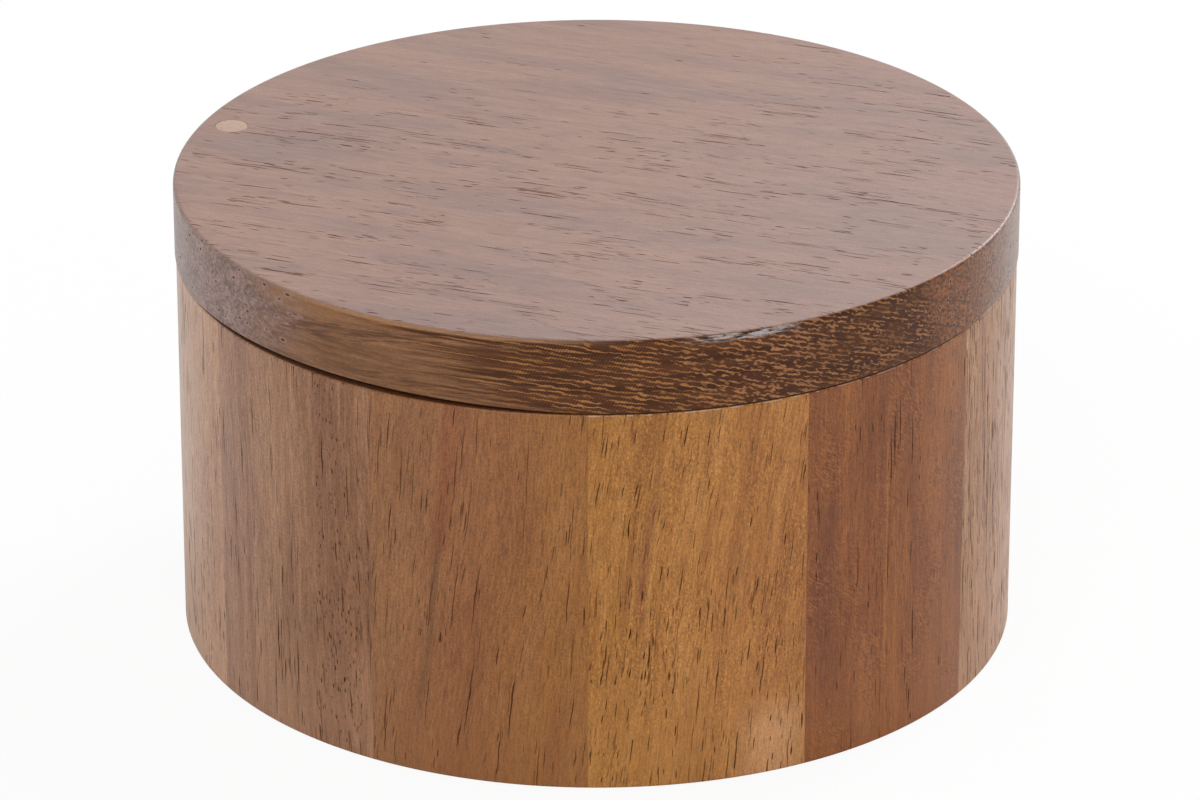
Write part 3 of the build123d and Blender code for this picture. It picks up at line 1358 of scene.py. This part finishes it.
@dataclass(frozen=True)
class LidFinish:
    """The lid's oiled board: a quiet face with clustered pores, and a rim with figured heartwood in front.

    grain is the azimuth of the grain, in degrees. radius is the lid's radius and low the height of its
    underside, in metres.
    """

    grain: float
    radius: float
    low: float
    face: FaceLook = FaceLook()
    edge: PlainEdge = PlainEdge()
    heart: Heartwood = Heartwood()
    marks: EdgeMarks = EdgeMarks()
    shift: float = 2.0
    edge_from: Tuple[float, float] = (0.5, 0.15)
    grit: float = 0.24
    gloss: float = 0.33
    shine: float = 0.28
    heart_dullness: float = 0.14

    def build(self, name: str) -> bpy.types.Material:
        """Builds the lid's material.

        Args:
            name: the material's name.

        Returns:
            The material: the board's face pattern and its rim pattern, mixed by how near a point lies to
            the rim.
        """
        wood = LidTimber(name, heading(self.grain), self.shift, self.radius, self.low)
        flat = wood.join(0.0, wood.across, wood.along)
        from_axis = wood.add("ShaderNodeVectorMath", flat, operation="LENGTH").outputs["Value"]
        on_edge = wood.step(from_axis, *[self.radius / MM - inset for inset in self.edge_from])

        face, face_pores = self.face.draw(wood)
        edge, edge_pores, heart = self.edge_look(wood)
        colour = wood.grit(wood.mix(on_edge, face, edge), self.grit)
        pores = wood.plus(wood.times(edge_pores, on_edge), wood.times(face_pores, wood.minus(1.0, on_edge)))
        shine = wood.line(wood.times(heart, on_edge), -self.heart_dullness, self.shine)
        return wood.finish(colour, pores, self.gloss, shine)

    def edge_look(self, wood: LidTimber) -> Tuple[Socket, Socket, Socket]:
        """Draws the rim.

        Args:
            wood: the lid's board.

        Returns:
            Its colour, how deep in a pore a point is, and the heartwood's share.
        """
        plain, pores = self.edge.draw(wood)
        heart, share = self.heart.draw(wood)
        colour = self.marks.ringed(wood, self.heart, wood.mix(share, plain, heart))
        # The second call paints a highlight along the upper edge.
        colour = self.marks.eased(wood, self.marks.glinted(wood, colour))
        return colour, wood.times(pores, wood.minus(1.0, share)), share


# ---------------------------------------------------------------- the other finishes


@dataclass(frozen=True)
class BaseFinish:
    """The base's oiled board, seen from below and through the open lid."""

    grain: float = 68.0
    shift: float = 31.0
    tints: Tones = Tones((0.36, 0.5, 0.64), (srgb(154, 110, 76), srgb(142, 98, 66), srgb(126, 84, 56)))
    bands: Lumps = Lumps((8, 5, 70), 1, 3, BAND)
    streaks: Lumps = Lumps((0.9, 0.8, 30), 2, 3, BAND)
    streak_share: float = 0.3
    pores: Pores = Pores(LONG, 0.5)
    pore_shift: float = 3.0
    pore: Colour = srgb(64, 38, 24)
    grit: float = 0.12
    gloss: float = 0.38

    def build(self, name: str) -> bpy.types.Material:
        """Builds the base's material.

        Args:
            name: the material's name.

        Returns:
            The material: bands, fine streaks and pores along the board.
        """
        wood = Timber(name, UP, heading(self.grain), self.shift)
        glow, _, dusk = self.tints.colours
        colour = wood.ramp(wood.bands(self.bands), self.tints)
        colour = wood.shaded(colour, wood.bands(self.streaks), self.streak_share, dusk, glow)
        pores = wood.spindles(self.pores, self.pores.share, self.pore_shift)
        colour = wood.mix(wood.times(pores, PORE_SHARE), wood.grit(colour, self.grit), self.pore)
        return wood.finish(colour, pores, self.gloss)


@dataclass(frozen=True)
class EndGrainFinish:
    """Pale dowel wood, seen on its end: tiny pores and faint rings."""

    wood: Colour = srgb(182, 154, 136)
    shade: Colour = srgb(157, 127, 108)
    shift: float = 5.0
    bend: float = 0.5
    rings: Lumps = Lumps((0.5, 0.5, 12), 1, 3, BAND)
    ring_share: float = 0.5
    pores: Pores = Pores((0.4, 0.4, 6.0), 0.6)
    pore_shift: float = 2.0
    pore_share: float = 0.5
    gloss: float = 0.4

    def build(self, name: str) -> bpy.types.Material:
        """Builds the dowel's material.

        Args:
            name: the material's name.

        Returns:
            The material, whose pattern runs along the dowel.
        """
        wood = Timber(name, heading(0.0), UP, self.shift, bend=self.bend)
        colour = wood.shaded(self.wood, wood.bands(self.rings), self.ring_share, self.shade, self.wood)
        pores = wood.spindles(self.pores, self.pores.share, self.pore_shift)
        colour = wood.mix(wood.times(pores, self.pore_share), colour, self.shade)
        return wood.finish(colour, pores, self.gloss)


@dataclass(frozen=True)
class NickelFinish:
    """Bright nickel plate with a faint mottle in its gloss."""

    bright: Colour = srgb(206, 203, 196)
    dull: Colour = srgb(176, 172, 166)
    clouds: Lumps = Lumps((0.8, 0.8, 0.8), 1, 3)
    dull_share: float = 0.25
    smoothest: float = 0.14
    cloudiness: float = 0.18

    def build(self, name: str) -> bpy.types.Material:
        """Builds the plate's material.

        Args:
            name: the material's name.

        Returns:
            The material.
        """
        graph = Graph(bpy.data.materials.new(name))
        cloud = graph.noise(board_place(graph, Euler((0, 0, 0))), self.clouds)
        graph.end(graph.named("ShaderNodeBsdfPrincipled", {
            "Metallic": 1.0,
            "Base Color": graph.mix(graph.times(cloud, self.dull_share), self.bright, self.dull),
            "Roughness": graph.line(cloud, self.cloudiness, self.smoothest),
        }))
        return graph.owner


# ---------------------------------------------------------------- the pieces


def wear(piece: bpy.types.Object, material: bpy.types.Material, body: str, node: str) -> None:
    """Dresses a piece and gives it its part in the frame.

    Args:
        piece: the piece.
        material: its material.
        body: the body that it rides on.
        node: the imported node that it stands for.
    """
    piece.data.materials.clear()
    piece.data.materials.append(material)
    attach(piece, body)
    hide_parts(node)
    LOG.info("%s: %d faces, rides on %s", piece.name, len(piece.data.polygons), body)


@dataclass(frozen=True)
class Packed:
    """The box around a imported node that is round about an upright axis."""

    bottom: Vector
    top: Vector

    @property
    def axis(self) -> Point:
        """The plan position of its axis."""
        middle = (self.bottom + self.top) / 2
        return (middle.x, middle.y)

    @property
    def radius(self) -> float:
        """Its radius."""
        return (self.top.x - self.bottom.x) / 2

    @property
    def low(self) -> float:
        """The height of its underside."""
        return self.bottom.z

    @property
    def high(self) -> float:
        """The height of its top."""
        return self.top.z


@dataclass
class StaveRing:
    """The wall: mitred staves between an outer and an inner radius, with a rebate for the base."""

    outer: float
    inner: float
    rebate: float
    height: float
    seat: float
    first_joint: float = -1.2
    rim_ease: float = 0.4 * MM
    mouth_ease: float = 0.8 * MM
    foot_ease: float = 0.4 * MM
    outside_steps: int = 40
    rim_steps: int = 4
    inside_steps: int = 20
    columns: int = 61
    shift: float = 11.0
    tones: Tuple[Tone, ...] = (
        Tone.TAN, Tone.RED_BROWN, Tone.GREY_BROWN, Tone.GOLDEN, Tone.TAN, Tone.RED_BROWN,
        Tone.TAN, Tone.GREY_BROWN, Tone.BROWN, Tone.GOLDEN, Tone.RED_BROWN, Tone.PINKISH,
    )

    @property
    def step(self) -> float:
        """One stave's share of the turn, in degrees."""
        return 360 / len(self.tones)

    def section(self) -> np.ndarray:
        """Gives the closed section of the wall.

        Returns:
            Its points, anticlockwise in the (radius, height) plane from the rebate's lower corner.
        """
        foot = (self.outer - self.foot_ease, self.foot_ease)
        rim = (self.outer - self.rim_ease, self.height - self.rim_ease)
        mouth = (self.inner + self.mouth_ease, self.height - self.mouth_ease)
        return np.vstack((
            straight((self.rebate, 0), (foot[0], 0), 1),
            corner_round(foot, self.foot_ease, -QUARTER),
            straight((self.outer, foot[1]), (self.outer, rim[1]), self.outside_steps),
            corner_round(rim, self.rim_ease, 0),
            straight((rim[0], self.height), (mouth[0], self.height), self.rim_steps),
            corner_round(mouth, self.mouth_ease, QUARTER),
            straight((self.inner, mouth[1]), (self.inner, self.seat), self.inside_steps),
            [(self.inner, self.seat), (self.rebate, self.seat), (self.rebate, 0)],
        ))

    def stave(self, name: str, azimuth: float) -> bpy.types.Object:
        """Builds one stave.

        Args:
            name: the piece's name.
            azimuth: where its first joint lies, in degrees.

        Returns:
            The piece: the section carried round from one joint to the next, with flat mitred ends.
        """
        section = self.section()
        angles = math.radians(azimuth) + math.radians(self.step) * np.linspace(0, 1, self.columns)
        rows = len(section)
        faces = strip_faces(rows, self.columns, True, False).tolist()
        first = np.arange(rows) * self.columns
        faces += [first.tolist(), (first[::-1] + self.columns - 1).tolist()]
        return make_piece(name, carried(section, angles), faces)

    def build(self, bores: Sequence[Bore]) -> None:
        """Builds and dresses the staves.

        Args:
            bores: the holes, each of which is cut into the stave that it lies in.
        """
        half = self.step / 2
        for index, tone in enumerate(self.tones):
            azimuth = self.first_joint + index * self.step
            node = f"stave_{index + 1:02d}"
            piece = self.stave(f"turned_{node}", azimuth)
            for bore in bores:
                if (bore.azimuth - azimuth) % 360 < self.step:
                    bore.cut(piece)
            shift = self.shift * index
            finish = StaveFinish(tone.value, azimuth + half, half, self.outer, self.height, shift)
            wear(piece, finish.build(f"{node}_wood"), "box", node)


@dataclass
class Base:
    """The bottom disc in its rebate."""

    radius: float
    thickness: float
    edge: float = 0.3 * MM
    face_steps: int = 12
    columns: int = 180

    def build(self) -> None:
        """Builds and dresses the disc: a turned section with its lower edge eased."""
        flat = self.radius - self.edge
        section = np.vstack((
            [(0, 0)],
            straight((0, 0), (flat, 0), self.face_steps),
            straight((flat, 0), (self.radius, self.edge), 1),
            straight((self.radius, self.edge), (self.radius, self.thickness), 2),
            straight((self.radius, self.thickness), (0, self.thickness), self.face_steps),
            [(0, self.thickness)],
        ))
        piece = turned("turned_base", section, (0, 0), self.columns)
        wear(piece, BaseFinish().build("base_wood"), "box", "base_disc")


@dataclass
class Lid:
    """The turned lid, one board thick."""

    radius: float
    low: float
    high: float
    grain: float = -20.0
    top_ease: float = 0.65 * MM
    bottom_ease: float = 0.35 * MM
    droop: float = 0.25 * MM
    lift: float = 0.75 * MM
    lift_azimuth: float = -126.0
    lift_turn: float = 34.0
    lift_reach: float = 4.0 * MM
    face_steps: int = 24
    side_steps: int = 12
    columns: int = 360

    def section(self) -> np.ndarray:
        """Gives the lid's section.

        Returns:
            Its (radius, height) points, from the axis at the bottom round to the axis at the top.
        """
        foot = (self.radius - self.bottom_ease, self.low + self.bottom_ease)
        crown = (self.radius - self.top_ease, self.high - self.top_ease)
        return np.vstack((
            [(0, self.low)],
            straight((0, self.low), (foot[0], self.low), self.face_steps),
            corner_round(foot, self.bottom_ease, -QUARTER),
            straight((self.radius, foot[1]), (self.radius, crown[1]), self.side_steps),
            corner_round(crown, self.top_ease, 0),
            straight((crown[0], self.high), (0, self.high), self.face_steps),
            [(0, self.high)],
        ))

    def lift_corner(self, piece: bpy.types.Object) -> None:
        """Lets the lower corner droop towards the wall, but lifts it at the left of the front.

        The corner moves by lift times 1 - (turn / lift_turn)^2, or 0 beyond it, minus the droop. This counts
        in full at the rim, fades out inwards over lift_reach and up the side over three times the lift.

        Args:
            piece: the lid.
        """
        mesh = piece.data
        points = np.empty(3 * len(mesh.vertices))
        mesh.vertices.foreach_get("co", points)
        x, y, z = points.reshape(-1, 3).T
        turn = np.degrees(np.arctan2(y, x)) - self.lift_azimuth
        round_rim = np.clip(1 - (turn / self.lift_turn) ** 2, 0, 1)
        outward = np.clip(1 - (self.radius - np.hypot(x, y)) / self.lift_reach, 0, 1)
        up_side = np.clip(1 - (z - self.low) / (3 * self.lift), 0, 1)
        points[2::3] = z + (self.lift * round_rim - self.droop) * outward * up_side
        mesh.vertices.foreach_set("co", points)
        mesh.update()

    def build(self, bores: Sequence[Bore]) -> None:
        """Builds and dresses the lid.

        Args:
            bores: the holes to cut into it.
        """
        piece = turned("turned_lid", self.section(), (0, 0), self.columns)
        self.lift_corner(piece)
        for bore in bores:
            bore.cut(piece)
        finish = LidFinish(self.grain, self.radius, self.low)
        wear(piece, finish.build("lid_wood"), "lid", "lid")


@dataclass
class Dowel:
    """The pivot dowel, glued through the lid."""

    packed: Packed
    tip: float = 0.6 * MM
    crown: float = 0.12 * MM
    side_steps: int = 8
    columns: int = 64

    def build(self) -> None:
        """Builds and dresses the dowel: a turned section with a tapered tip and a softened top edge."""
        radius, low, high = self.packed.radius, self.packed.low, self.packed.high
        section = np.vstack((
            [(0, low)],
            straight((0, low), (radius - self.tip, low), 1),
            straight((radius - self.tip, low), (radius, low + self.tip), 1),
            straight((radius, low + self.tip), (radius, high - self.crown), self.side_steps),
            corner_round((radius - self.crown, high - self.crown), self.crown, 0),
            [(0, high)],
        ))
        piece = turned("pivot_pin", section, self.packed.axis, self.columns)
        wear(piece, EndGrainFinish().build("dowel_wood"), "lid", "pivot_dowel")


@dataclass
class Magnet:
    """One plated disc magnet."""

    node: str
    body: str
    packed: Packed
    edge: float = 0.15 * MM
    columns: int = 64

    def build(self, material: bpy.types.Material) -> None:
        """Builds and dresses the disc: a turned section with rounded edges.

        Args:
            material: its plating.
        """
        low, high, shoulder = self.packed.low, self.packed.high, self.packed.radius - self.edge
        section = np.vstack((
            [(0, low)],
            corner_round((shoulder, low + self.edge), self.edge, -QUARTER),
            corner_round((shoulder, high - self.edge), self.edge, 0),
            [(0, high)],
        ))
        piece = turned(f"plated_{self.node}", section, self.packed.axis, self.columns)
        wear(piece, material, self.body, self.node)


# ---------------------------------------------------------------- the studio


def facing(place: Triple, aim: Triple) -> Euler:
    """Gives the turn that points a camera or a lamp from its place at an aim."""
    return (Vector(aim) - Vector(place)).to_track_quat("-Z", "Y").to_euler()


@dataclass(frozen=True)
class Lamp:
    """A square soft lamp."""

    name: str
    place: Triple
    size: float
    power: float
    aim: Triple = (0.0, 0.0, 0.04)

    def hang(self) -> None:
        """Hangs the lamp in its place, facing the box."""
        data = bpy.data.lights.new(self.name, "AREA")
        data.shape = "SQUARE"
        data.size = self.size
        data.energy = self.power
        lamp = bpy.data.objects.new(self.name, data)
        bpy.context.scene.collection.objects.link(lamp)
        lamp.location = self.place
        lamp.rotation_euler = facing(self.place, self.aim)


@dataclass
class Studio:
    """A pale floor, soft lamps and a long lens."""

    camera_place: Triple = (0.0, -0.9561, 0.4639)
    camera_aim: Triple = (0.0005, 0.0, 0.0337)
    camera_clip: Tuple[float, float] = (0.05, 20.0)
    lens_mm: float = 206.56
    sensor_mm: float = 36.0
    white: Colour = (1.0, 1.0, 1.0, 1.0)
    surround: float = 0.66
    mirror: Stretch = (-0.5, 0.6, 0.3, 1.0)
    paper: Colour = (0.9, 0.9, 0.9, 1.0)
    floor_size: float = 3.0
    floor_drop: float = 0.02 * MM
    floor_lift: float = 0.9
    lamps: Tuple[Lamp, ...] = (
        Lamp("rim_lamp", (0.9, 0.95, 0.75), 0.7, 13.0), Lamp("front_lamp", (-0.3, -1.0, 0.7), 0.8, 5.5),
    )

    def camera(self) -> None:
        """Stands the camera in its place and points it at the box."""
        data = bpy.data.cameras.new("camera")
        data.sensor_width = self.sensor_mm
        data.lens = self.lens_mm
        data.clip_start, data.clip_end = self.camera_clip
        camera = bpy.data.objects.new("camera", data)
        bpy.context.scene.collection.objects.link(camera)
        camera.location = self.camera_place
        camera.rotation_euler = facing(self.camera_place, self.camera_aim)
        bpy.context.scene.camera = camera

    def world(self) -> None:
        """Surrounds the scene with white: full to the camera, and softer towards the front in reflections."""
        world = bpy.data.worlds.new("studio")
        bpy.context.scene.world = world
        graph = Graph(world)
        path = graph.add("ShaderNodeLightPath")
        _, ahead, _ = graph.parts(graph.add("ShaderNodeTexCoord").outputs["Generated"])
        mirrored = graph.step(ahead, *self.mirror)
        light = graph.between(path.outputs["Is Glossy Ray"], self.surround, mirrored)
        seen = graph.between(path.outputs["Is Camera Ray"], light, 1.0)
        background = graph.named("ShaderNodeBackground", {"Color": self.white, "Strength": seen})
        graph.end(background, "ShaderNodeOutputWorld")

    def floor(self) -> None:
        """Lays the pale floor, lifted towards white where the camera sees it, with the box's shadow kept."""
        half = self.floor_size / 2
        corners = np.array([(-half, -half, 0), (half, -half, 0), (half, half, 0), (-half, half, 0)])
        floor = make_piece("floor", corners, [(0, 1, 2, 3)])
        floor.location.z = -self.floor_drop
        graph = Graph(bpy.data.materials.new("floor_paper"))
        paper = graph.named("ShaderNodeBsdfDiffuse", {"Color": self.paper})
        glow = graph.named("ShaderNodeEmission", {"Strength": 1.0})
        lift = graph.times(graph.add("ShaderNodeLightPath").outputs["Is Camera Ray"], self.floor_lift)
        graph.end(graph.add("ShaderNodeMixShader", lift, paper.outputs[0], glow.outputs[0]))
        floor.data.materials.append(graph.owner)

    def build(self) -> None:
        """Sets up the camera, the surround, the floor and the lamps."""
        self.camera()
        self.world()
        self.floor()
        for lamp in self.lamps:
            lamp.hang()
        bpy.context.scene.view_settings.view_transform = "Standard"


# ---------------------------------------------------------------- putting it together


def main() -> None:
    """Builds the studio and the pieces in order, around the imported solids' own sizes."""
    logging.basicConfig(level=logging.INFO, format="%(name)s: %(message)s")
    Studio().build()

    dowel = Packed(*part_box("pivot_dowel"))
    rim_magnet = Packed(*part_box("rim_magnet"))
    lid = Packed(*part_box("lid"))
    base = Packed(*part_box("base_disc"))
    lid_magnet = Packed(*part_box("lid_magnet"))
    wall_top = Packed(*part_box("stave_01")).high
    base_radius = base.top.x
    outer = lid.radius - LID_OVERHANG
    pocket = rim_magnet.radius + GLUE

    StaveRing(outer, outer - WALL, base_radius + GLUE, wall_top, base.high).build([
        Bore(dowel.axis, dowel.radius + PIVOT_PLAY, dowel.low, wall_top + MM),
        Bore(rim_magnet.axis, pocket, rim_magnet.low, wall_top + MM),
    ])
    Base(base_radius, base.high).build()
    Lid(lid.radius, lid.low, lid.high).build([
        Bore(dowel.axis, dowel.radius + GLUE, lid.low - MM, lid.high + MM),
        Bore(rim_magnet.axis, pocket, lid.low - MM, lid_magnet.high),
    ])
    Dowel(dowel).build()
    plate = NickelFinish().build("nickel_plate")
    Magnet("rim_magnet", "box", rim_magnet).build(plate)
    Magnet("lid_magnet", "lid", lid_magnet).build(plate)


if __name__ == "__main__":
    main()
